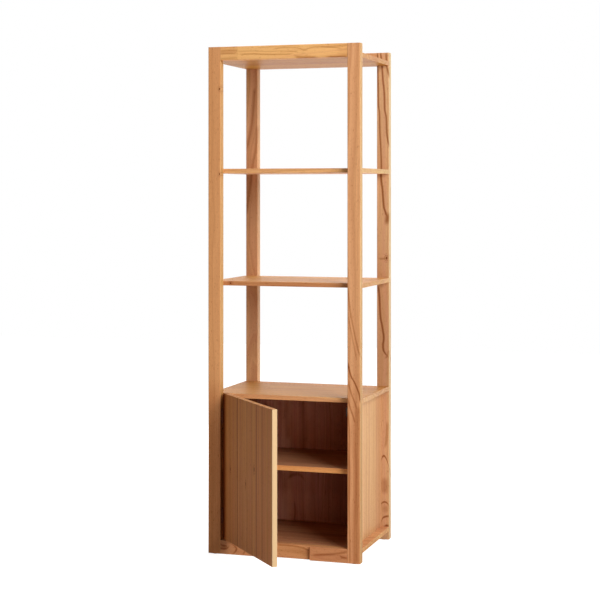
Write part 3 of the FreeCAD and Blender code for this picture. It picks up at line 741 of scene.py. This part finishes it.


# Each wooden piece: its grain (across, through, along), where it was cut, and what shows in it, painted
# light and shade among it.
# Staves are a width, the place of the first joint, and the way that they are counted. A streak, an arch
# or a pale streak is a route, half a width and a strength; the wide soft streaks on the door and the back
# are painted shade. A knot is its place in shares of the face, and its half size. An overhang is its reach
# from the board's ends, and its tint. Tone curves go along the board, cross ones across it and face ones
# along its broad faces alone: 0.5 leaves the wood, and more is deeper. They hold the wood's own tone and
# painted light and shade, and a face shading tint paints the broad faces lighter or darker than the edges.
wooden_pieces = {
    # Front left post: its front and back faces painted lighter than its sides, painted light; deeper on the
    # lower third, the door's painted shadow, and a little lighter above, painted light; lighter towards its
    # inner edge, a painted highlight; its sides darker low down, the painted shade in the gap beside the
    # door
    "front_left_post": dict(
        seed=2.0, pith=(0.06, 0.10), rosiness=0.2, bands=0.25, rings=0.25, sway=0.01,
        tint=(0.82, 0.91, 0.77), face_shading_tint=(1.165, 1.108, 1.09),
        tone_and_shade_shares=(
            (0.0, 0.71), (0.3, 0.68), (0.36, 0.42), (0.6, 0.43), (0.72, 0.455), (0.8, 0.475), (1.0, 0.46),
        ),
        cross_tone_and_shade_shares=((0.0, 0.52), (0.6, 0.51), (0.8, 0.47), (1.0, 0.45)),
        edge_shade_shares=((0.0, 0.0), (0.02, 0.0), (0.04, 0.3), (0.29, 0.3), (0.315, 0.0), (1.0, 0.0)),
        knot_shares=[
            ((0.926, 0.917), (0.003, 0.06, 0.005)),
            ((0.926, 0.749), (0.0026, 0.06, 0.004)),
        ],
    ),
    # Front right post: its front and back faces painted lighter than its sides, painted light; its sides and
    # its front painted deeper towards the bottom, painted shade
    "front_right_post": dict(
        seed=5.0, pith=(-0.09, 0.08), rosiness=0.2, bands=0.5, tint=(0.85, 1.03, 0.99),
        face_shading_tint=(1.13, 1.13, 1.25),
        edge_shade_shares=((0.0, 0.12), (0.2, 0.1), (0.35, 0.05), (0.5, 0.0), (1.0, 0.0)),
        streak_and_shade_shares=[
            (((0.385, 0.03), (0.362, 0.26), (0.348, 0.56), (0.331, 0.85), (0.322, 0.96), (0.312, 1.0)),
              0.0017, 0.7),
            (((0.525, 0.05), (0.49, 0.2), (0.455, 0.45), (0.42, 0.75), (0.4, 0.97)), 0.0018, 0.3),
            (((0.47, 0.12), (0.445, 0.3), (0.42, 0.5), (0.395, 0.7)), 0.0016, 0.22),
            (((0.345, 0.1), (0.325, 0.33), (0.311, 0.56), (0.295, 0.75)), 0.0018, 0.35),
            (((0.315, 0.05), (0.3, 0.21), (0.284, 0.44), (0.27, 0.6)), 0.0018, 0.35),
            (((0.29, 0.0), (0.274, 0.09), (0.246, 0.16), (0.18, 0.14), (0.0, 0.2)), 0.0020, 0.3),
            (((0.3, 0.86), (0.258, 0.8), (0.211, 0.72), (0.1, 0.72), (0.0, 0.74)), 0.006, 0.25),
        ],
        tone=-0.04,
        face_tone_and_shade_shares=((0.0, 0.58), (0.2, 0.57), (0.3, 0.54), (0.4, 0.48), (0.6, 0.48), (1.0, 0.49)),
    ),
    # Rear left post: its front and back faces tinted apart from its sides, painted light
    "rear_left_post": dict(
        seed=8.0, pith=(0.02, 0.14), lean=(0.05, 0.0), tint=(1.15, 1.44, 1.70),
        face_shading_tint=(1.17, 1.31, 1.53), tone=-0.03,
        tone_and_shade_shares=(
            (0.0, 0.5), (0.3, 0.46), (0.38, 0.46), (0.46, 0.53), (0.56, 0.55), (0.65, 0.51), (0.75, 0.57),
            (0.85, 0.5), (1.0, 0.5),
        ),
        streak_and_shade_shares=[
            (((0.93, 0.72), (0.895, 0.64), (0.864, 0.53), (0.848, 0.42), (0.819, 0.19), (0.808, 0.11)),
              0.0034, 0.24),
            (((0.85, 1.0), (0.818, 0.91), (0.773, 0.6), (0.742, 0.45), (0.697, 0.19), (0.67, 0.05)),
              0.0034, 0.24),
        ],
    ),
    # Rear right post: its front and back faces tinted apart from its sides, painted light
    "rear_right_post": dict(
        seed=11.0, pith=(0.1, 0.1), tint=(0.91, 1.34, 1.53), face_shading_tint=(1.04, 1.26, 1.54),
        tone_and_shade_shares=((0.0, 0.52), (0.3, 0.5), (0.38, 0.5), (1.0, 0.45)),
        face_tone_and_shade_shares=(
            (0.0, 0.52), (0.3, 0.57), (0.38, 0.9), (0.46, 0.85), (0.52, 0.72), (0.56, 0.62), (0.62, 0.55),
            (0.74, 0.53), (0.84, 0.46), (1.0, 0.44),
        ),
        knot_shares=[
            ((0.80, 0.578), (0.004, 0.06, 0.006)),
        ],
        streak_and_shade_shares=[
            (((1.0, 0.05), (0.932, 0.11), (0.893, 0.13), (0.876, 0.22), (0.841, 0.25), (0.786, 0.35),
              (0.755, 0.38)), 0.0018, 0.6),
            (((1.0, 0.3), (0.973, 0.42), (0.939, 0.52), (0.914, 0.62), (0.885, 0.65), (0.866, 0.78),
              (0.84, 0.81), (0.824, 0.88), (0.811, 0.99)), 0.002, 0.62),
            (((1.0, 0.76), (0.971, 0.83), (0.963, 0.91), (0.952, 1.0)), 0.0022, 0.55),
            (((0.76, 0.32), (0.736, 0.37), (0.72, 0.46), (0.699, 0.52), (0.684, 0.57), (0.674, 0.69),
              (0.662, 0.86)), 0.0022, 0.75),
            (((0.668, 0.9), (0.661, 0.87), (0.65, 0.82)), 0.0045, 0.6),
            (((0.518, 0.1), (0.5, 0.2), (0.473, 0.25), (0.458, 0.29), (0.441, 0.42), (0.426, 0.51),
              (0.412, 0.57), (0.399, 0.51), (0.39, 0.54), (0.382, 0.7), (0.377, 0.85)), 0.0022, 0.7),
            (((0.24, 0.86), (0.212, 0.81), (0.191, 0.69)), 0.003, 0.25),
            (((0.124, 0.62), (0.11, 0.65), (0.096, 0.65)), 0.008, 0.25),
            (((0.07, 0.69), (0.063, 0.69), (0.056, 0.7)), 0.007, 0.2),
        ],
        arch_shares=[
            (((0.8, 0.375), (0.87, 0.377), (0.97, 0.385), (1.0, 0.389)), 0.003, 0.6),
            (((0.2, 0.577), (0.5, 0.5765), (0.8, 0.578)), 0.0022, 0.3),
            (((0.33, 0.16), (0.44, 0.168), (0.57, 0.1715), (0.77, 0.166), (0.93, 0.155), (1.0, 0.149)),
              0.0023, 0.75),
            (((0.33, 0.072), (0.57, 0.0765), (0.73, 0.0765), (0.92, 0.073), (1.0, 0.070)), 0.0021, 0.65),
            (((0.33, 0.034), (0.48, 0.043), (0.69, 0.0465), (1.0, 0.048)), 0.0021, 0.7),
            (((0.55, 0.022), (0.61, 0.025), (0.81, 0.0285), (1.0, 0.027)), 0.0025, 0.8),
        ],
    ),
    # Upper front rail: lighter overall, partly its own paler wood and partly painted light, which is
    # stronger near the top
    "upper_front_rail": dict(
        grain="ZYX", seed=14.0, pith=(0.03, 0.05), lean=(0.05, 0), staves=(0.42, -0.171, "along"),
        tone=-0.35, tint=(1.32, 1.41, 1.24), rosiness=0.4, bands=0.8,
        tone_and_shade_shares=(
            (0.0, 0.51), (0.12, 0.49), (0.14, 0.38), (0.3, 0.39), (0.48, 0.385), (0.58, 0.45),
            (0.66, 0.485), (0.75, 0.52), (0.84, 0.61), (0.93, 0.68), (1.0, 0.70),
        ),
        streak_and_shade_shares=[
            (((0.0, 0.47), (0.061, 0.48), (0.125, 0.46)), 0.0016, 0.26),
            (((0.0, 0.7), (0.07, 0.72), (0.125, 0.71)), 0.0016, 0.18),
            (((0.164, 0.39), (0.266, 0.41), (0.347, 0.36), (0.516, 0.31), (0.57, 0.34)), 0.0016, 0.24),
            (((0.6, 0.12), (0.633, 0.07), (0.70, 0.05), (0.76, 0.0)), 0.003, 0.35),
            (((0.43, 0.72), (0.52, 0.8), (0.6, 0.76), (0.655, 0.58)), 0.0014, 0.2),
            (((0.3, 0.86), (0.45, 0.9), (0.58, 0.93), (0.64, 0.78)), 0.0014, 0.12),
            (((0.14, 0.6), (0.25, 0.63), (0.38, 0.55), (0.5, 0.56), (0.62, 0.42)), 0.0015, 0.14),
            (((0.633, 0.79), (0.665, 0.6), (0.70, 0.69), (0.774, 0.8), (0.845, 0.76), (0.95, 0.62)),
              0.0015, 0.2),
            (((0.85, 0.03), (0.93, 0.03), (1.0, 0.03)), 0.002, 0.35),
        ],
        pale_streak_shares=[
            (((0.68, 0.5), (0.76, 0.5), (0.823, 0.5), (0.93, 0.46)), 0.008, 0.35),
        ],
    ),
    "upper_rear_rail": dict(grain="ZYX", seed=17.0, tint=(1.06, 1.22, 1.4)),
    "lower_front_rail": dict(
        grain="ZYX", seed=20.0, pith=(0.0, 0.06), tint=(0.96, 0.94, 0.93),
        tone_and_shade_shares=((0.0, 0.45), (0.25, 0.47), (0.5, 0.54), (0.7, 0.5), (1.0, 0.49)),
        streak_and_shade_shares=[
            (((0.0, 0.7), (0.02, 0.62), (0.045, 0.6), (0.058, 0.52)), 0.0022, 0.6),
            (((0.0, 0.42), (0.03, 0.39), (0.05, 0.44), (0.06, 0.5)), 0.0022, 0.6),
            (((0.015, 0.52), (0.03, 0.53), (0.042, 0.52)), 0.003, 0.5),
            (((0.45, 1.0), (0.589, 0.98), (0.672, 0.83), (0.7, 0.7)), 0.002, 0.3),
            (((0.743, 0.43), (0.836, 0.52), (0.93, 0.66), (1.0, 0.85)), 0.0025, 0.3),
            (((0.945, 0.5), (0.965, 0.4), (1.0, 0.34)), 0.0022, 0.35),
        ],
        arch_shares=[
            (((0.77, 0.088), (0.57, 0.123), (0.38, 0.128), (0.11, 0.107)), 0.0022, 0.5),
            (((0.9, 0.198), (0.37, 0.197), (0.1, 0.184)), 0.0018, 0.4),
        ],
    ),
    "lower_rear_rail": dict(grain="ZYX", seed=23.0),
    # Top board: its underside painted in the colour that the light falling on it gives, painted light; its
    # top keeps its own tint
    "top_board": dict(
        grain="YZX", seed=26.0, staves=(0.092, 0.03, "across"), rosiness=0.7, tone=-0.15,
        tint=(1.1, 1.12, 1.1), face_shading_tint=(0.90, 0.82, 0.38), far_face_tint=(1.01, 1.01, 0.95),
        end_tint=(0.82, 0.90, 0.91), specular=board_specular,
    ),
    # Upper shelf: its right end painted lighter, taking some of the front right post's shadow off its edge,
    # painted light
    "upper_shelf": dict(
        grain="YZX", seed=29.0, staves=(0.088, 0.01, "across"), tone=-0.2, tint=(1.19, 1.21, 1.19),
        end_tint=(0.92, 1.22, 1.25), specular=board_specular,
        tone_and_shade_shares=(
            (0.0, 0.5), (0.6, 0.5), (0.72, 0.6), (0.83, 0.55), (0.88, 0.1), (0.95, 0.1), (1.0, 0.45),
        ),
    ),
    # Middle shelf: its broad faces painted paler and yellower than its edge, a painted sheen
    "middle_shelf": dict(
        grain="YZX", seed=32.0, staves=(0.095, 0.02, "across"), tint=(0.94, 0.82, 0.78),
        face_shading_tint=(1.07, 1.11, 0.78), specular=board_specular,
        knot_shares=[
            ((0.0, 0.129), (0.02, 0.004, 0.0035)),
        ],
    ),
    # Cabinet top: its broad faces painted darker and yellower than its edge, the colour of the shade it lies
    # in, and deeper towards the back, painted shade
    "cabinet_top": dict(
        grain="YZX", seed=35.0, staves=(0.09, 0.04, "across"), tone=-0.05, tint=(1.19, 1.27, 1.25),
        face_shading_tint=(0.88, 0.86, 0.57), end_tint=(0.90, 1.09, 1.25), specular=board_specular,
        cross_tone_and_shade_shares=((0.0, 0.30), (0.4, 0.42), (1.0, 0.64)),
    ),
    # Bottom board: its broad faces painted darker, the shade inside the cabinet; the overhang outside the
    # side panels takes that painted shade off
    "bottom_board": dict(
        grain="YZX", seed=38.0, staves=(0.09, 0.0, "across"), tint=(1.0, 0.98, 0.95),
        face_shading_tint=(0.65, 0.62, 0.71), end_tint=(0.92, 1.06, 1.03), overhang=(0.030, (1.0, 1.03, 1.09)),
    ),
    # Inner shelf: its broad faces painted darker than its lit front edge, the shade inside the cabinet
    "inner_shelf": dict(
        grain="YZX", seed=41.0, staves=(0.09, 0.0, "across"), tint=(1.23, 1.20, 0.95),
        face_shading_tint=(0.65, 0.66, 0.78),
    ),
    "left_side_panel": dict(grain="YXZ", seed=44.0, staves=(0.12, -0.025, "across"), pith=(0.4, 0.1)),
    "right_side_panel": dict(
        grain="YXZ", seed=47.0, staves=(0.12, -0.025, "across"), pith=(0.4, 0.1), sway=0.015,
        tint=(0.95, 1.11, 1.23),
        cross_tone_and_shade_shares=((0.0, 0.43), (0.4, 0.43), (0.45, 0.49), (0.7, 0.49), (0.8, 0.53), (1.0, 0.53)),
        tone_and_shade_shares=((0.0, 0.58), (0.25, 0.53), (0.5, 0.49), (1.0, 0.46)),
    ),
    # Cabinet back: on its inside face a bluer tint for the colour of deep shade, two wide dark streaks and a
    # tone deeper towards the right, where the cabinet is shaded, and deeper bands, one under the inner
    # shelf, all painted shade; its outside keeps its own tint
    "cabinet_back": dict(
        seed=50.0, staves=(0.095, -0.088, "across"), tint=(0.92, 1.08, 2.07),
        far_face_tint=(0.99, 0.97, 0.94), pith=(0.4, 0.05), sway=0.03, bands=0.9, ring_width=0.006,
        rings=0.55,
        streak_and_shade_shares=[
            (((0.5, 0.80), (1.0, 0.80)), 0.07, 0.36),
            (((0.0, 0.76), (0.5, 0.78)), 0.07, 0.52),
            (((0.0, 0.318), (0.06, 0.325), (0.13, 0.32)), 0.002, 0.3),
            (((0.05, 0.66), (0.15, 0.64), (0.3, 0.62)), 0.002, 0.35),
            (((0.0, 0.53), (0.05, 0.54), (0.2, 0.565), (0.27, 0.585)), 0.002, 0.35),
            (((0.52, 0.39), (0.66, 0.41), (0.8, 0.395), (1.0, 0.385)), 0.008, 0.18),
            (((0.6, 0.262), (0.78, 0.255), (0.95, 0.27)), 0.006, 0.15),
        ],
        arch_shares=[
            (((0.575, 0.0), (0.595, 0.08), (0.607, 0.115), (0.622, 0.08), (0.64, 0.0)), 0.004, 0.5),
            (((0.27, 0.31), (0.32, 0.335), (0.36, 0.335), (0.40, 0.305)), 0.004, 0.25),
        ],
        cross_tone_and_shade_shares=((0.0, 0.36), (0.5, 0.37), (0.7, 0.58), (1.0, 0.7)),
        tone_and_shade_shares=(
            (0.0, 0.5), (0.1, 0.46), (0.15, 0.5), (0.2, 0.62), (0.26, 0.8), (0.33, 0.8), (0.42, 0.5),
            (0.58, 0.47), (0.64, 0.55), (0.68, 0.6), (0.8, 0.5), (1.0, 0.5),
        ),
        pale_streak_shares=[
            (((0.53, 0.228), (0.74, 0.235)), 0.005, 0.5),
            (((0.5, 0.325), (0.7, 0.33), (0.86, 0.32)), 0.009, 0.45),
            (((0.0, 0.285), (0.31, 0.295)), 0.008, 0.4),
            (((0.0, 0.28), (0.16, 0.283)), 0.005, 0.65),
            (((0.0, 0.2), (0.3, 0.205)), 0.005, 0.4),
            (((0.0, 0.42), (1.0, 0.44)), 0.005, 0.3),
            (((0.5, 0.52), (0.95, 0.51)), 0.003, 0.3),
        ],
    ),
    # Door: its outer face and edges tinted redder, the colour of the shade it stands in; painted deeper
    # towards the hinge side and darkest in a band along the hinge edge, the painted shade of the left post
    "door": dict(
        seed=53.0, staves=(0.181, -0.09, "across"), pith=(0.45, 0.05), sway=0.012, bands=1.2, rings=0.75,
        ring_width=0.008, fibres=0.45, rosiness=0.8, tint=(1.02, 0.84, 0.56),
        far_face_tint=(1.0, 0.97, 0.90), end_tint=(1.06, 1.15, 1.06),
        cross_tone_and_shade_shares=((0.0, 0.73), (0.08, 0.64), (0.25, 0.58), (0.6, 0.48), (1.0, 0.27)),
        tone_and_shade_shares=((0.0, 0.57), (0.25, 0.57), (0.5, 0.49), (0.7, 0.41), (0.9, 0.42), (1.0, 0.44)),
        knot_shares=[
            ((0.652, 0.57), (0.0038, 0.02, 0.009)),
            ((0.48, 0.449), (0.0026, 0.02, 0.008)),
            ((0.158, 0.5), (0.0024, 0.02, 0.007)),
        ],
        streak_and_shade_shares=[
            (((0.0, 0.305), (0.5, 0.305)), 0.0024, 0.3),
            (((0.45, 0.305), (1.0, 0.305)), 0.0024, 0.42),
            (((0.0, 0.695), (0.5, 0.693), (1.0, 0.695)), 0.0024, 0.4),
            (((0.0, 0.805), (1.0, 0.805)), 0.003, 0.3),
            (((0.0, 0.0), (1.0, 0.0)), 0.0135, 1.25),
        ],
        lipping=0.0025,
    ),
}


def patchy_shade(tree, clouds, colour, darkness):
    """A colour that is a little darker in slow patches."""
    darker = [darkness * part for part in colour]
    return blend_colour(tree, ease(tree, clouds, patch_starts, patch_full), (*colour, 1), (*darker, 1))


def make_metal(name, colour, roughness, scratch_scale):
    """Plated or turned steel: fine marks and a slow change of gloss."""
    scratch_detail, scratch_roughness = 3.0, 0.6
    cloud_scale = (90.0, 90.0, 90.0)
    cloud_darkness = 0.7
    scratch_gloss, cloud_gloss = 0.2, 0.15
    scratch_depth = 0.00002
    material, tree, shader = new_material(name)
    place = tree.nodes.new("ShaderNodeTexCoord").outputs["Object"]
    marks = drawn_out_noise(tree, place, scratch_scale, scratch_detail, scratch_roughness)
    clouds = drawn_out_noise(tree, place, cloud_scale)
    tree.links.new(patchy_shade(tree, clouds, colour, cloud_darkness), shader.inputs["Base Color"])
    gloss = total(tree, roughness, swing(tree, marks, scratch_gloss), swing(tree, clouds, cloud_gloss))
    tree.links.new(gloss, shader.inputs["Roughness"])
    shader.inputs["Metallic"].default_value = 1.0
    add_relief(tree, shader, marks, scratch_depth)
    return material


def make_plastic(name, colour, roughness):
    """Moulded plastic: a fine even grain."""
    grain_scale = (1500.0, 1500.0, 1500.0)
    cloud_scale = (70.0, 70.0, 70.0)
    cloud_darkness = 0.8
    grain_gloss = 0.15
    grain_depth = 0.00003
    material, tree, shader = new_material(name)
    place = tree.nodes.new("ShaderNodeTexCoord").outputs["Object"]
    grain = drawn_out_noise(tree, place, grain_scale)
    clouds = drawn_out_noise(tree, place, cloud_scale)
    tree.links.new(patchy_shade(tree, clouds, colour, cloud_darkness), shader.inputs["Base Color"])
    gloss = total(tree, roughness, swing(tree, grain, grain_gloss))
    tree.links.new(gloss, shader.inputs["Roughness"])
    shader.inputs["Specular IOR Level"].default_value = plastic_specular
    add_relief(tree, shader, grain, grain_depth)
    return material


def make_dowel_timber():
    """Fluted dowels of a pale, even wood, unoiled."""
    fibre_scale = (300.0, 300.0, 300.0)
    fibre_detail, fibre_roughness = 3.0, 0.6
    pale_fibre = (0.72, 0.50, 0.30, 1)
    deep_fibre = (0.55, 0.35, 0.18, 1)
    bare_roughness, roughness_change = 0.6, 0.15
    fibre_depth = 0.0001
    material, tree, shader = new_material("dowel_timber")
    place = tree.nodes.new("ShaderNodeTexCoord").outputs["Object"]
    fibre = drawn_out_noise(tree, place, fibre_scale, fibre_detail, fibre_roughness)
    shade = blend_colour(tree, ease(tree, fibre, patch_starts, patch_full), pale_fibre, deep_fibre)
    tree.links.new(shade, shader.inputs["Base Color"])
    roughness = total(tree, bare_roughness, swing(tree, fibre, roughness_change))
    tree.links.new(roughness, shader.inputs["Roughness"])
    add_relief(tree, shader, fibre, fibre_depth)
    return material


# The metal and plastic fittings by their slot: name, colour, roughness and the scale of a metal's marks
metal_fittings = {
    "hinge_steel": ("bronzed_steel", (0.085, 0.024, 0.013), 0.55, (400.0, 400.0, 3000.0)),
    "screw_steel": ("bronzed_screw_steel", (0.11, 0.08, 0.06), 0.4, (900.0, 900.0, 900.0)),
    "dark_steel": ("browned_steel", (0.075, 0.028, 0.015), 0.5, (1200.0, 1200.0, 1200.0)),
    "magnet_iron": ("sintered_iron", (0.06, 0.06, 0.063), 0.6, (1500.0, 1500.0, 1500.0)),
}
plastic_fittings = {
    "catch_plastic": ("dark_brown_plastic", (0.17, 0.062, 0.030), 0.5),
    "glide_plastic": ("brown_glide_plastic", (0.16, 0.10, 0.06), 0.5),
}


def dress_pieces():
    """Every piece of the unit gets its own finish."""
    fittings = {slot: make_metal(*values) for slot, values in metal_fittings.items()}
    for slot, values in plastic_fittings.items():
        fittings[slot] = make_plastic(*values)
    fittings["dowel_wood"] = make_dowel_timber()
    for name, node in frame["nodes"].items():
        slot = node.data.materials[0].name
        if name in wooden_pieces:
            finish = timber_material(name, **wooden_pieces[name])
        else:
            finish = fittings[slot]
        node.data.materials.clear()
        node.data.materials.append(finish)


def seen_share(tree):
    """1 for what the camera sees, also in a gloss or through glass, and 0 for what only lights the unit."""
    rays = tree.nodes.new("ShaderNodeLightPath")
    kinds = ("Is Camera Ray", "Is Glossy Ray", "Is Transmission Ray")
    return darkest(tree, [rays.outputs[kind] for kind in kinds])


def set_world():
    """A white room that the camera and reflections see, and that lights the unit only a little."""
    world = bpy.data.worlds.new("studio")
    world.use_nodes = True
    bpy.context.scene.world = world
    tree = world.node_tree
    background = tree.nodes["Background"]
    background.inputs["Color"].default_value = white
    strength = ease(tree, seen_share(tree), 0.0, 1.0, room_strength, white_strength)
    tree.links.new(strength, background.inputs["Strength"])


def add_floor():
    """A plain pale floor: it keeps the unit's shadow, and is white further out."""
    half = floor_side / 2
    mesh = bpy.data.meshes.new("floor")
    corners = [(-half, -half, 0), (half, -half, 0), (half, half, 0), (-half, half, 0)]
    mesh.from_pydata(corners, [], [(0, 1, 2, 3)])
    floor = bpy.data.objects.new("floor", mesh)
    bpy.context.scene.collection.objects.link(floor)
    material, tree, shader = new_material("pale_floor")
    place = tree.nodes.new("ShaderNodeTexCoord").outputs["Object"]
    apart = calculate_vector(tree, "LENGTH", place)
    glow = ease(tree, apart, shadow_reach, shadow_edge, floor_glow_near, white_strength)
    shader.inputs["Base Color"].default_value = (floor_grey, floor_grey, floor_grey, 1)
    shader.inputs["Roughness"].default_value = floor_roughness
    shader.inputs["Specular IOR Level"].default_value = 0.0
    shader.inputs["Emission Color"].default_value = white
    emission = calculate(tree, "MULTIPLY", glow, seen_share(tree))
    tree.links.new(emission, shader.inputs["Emission Strength"])
    mesh.materials.append(material)


add_camera()
add_lamps()
set_world()
add_floor()
dress_pieces()
bpy.context.scene.view_settings.view_transform = "Standard"
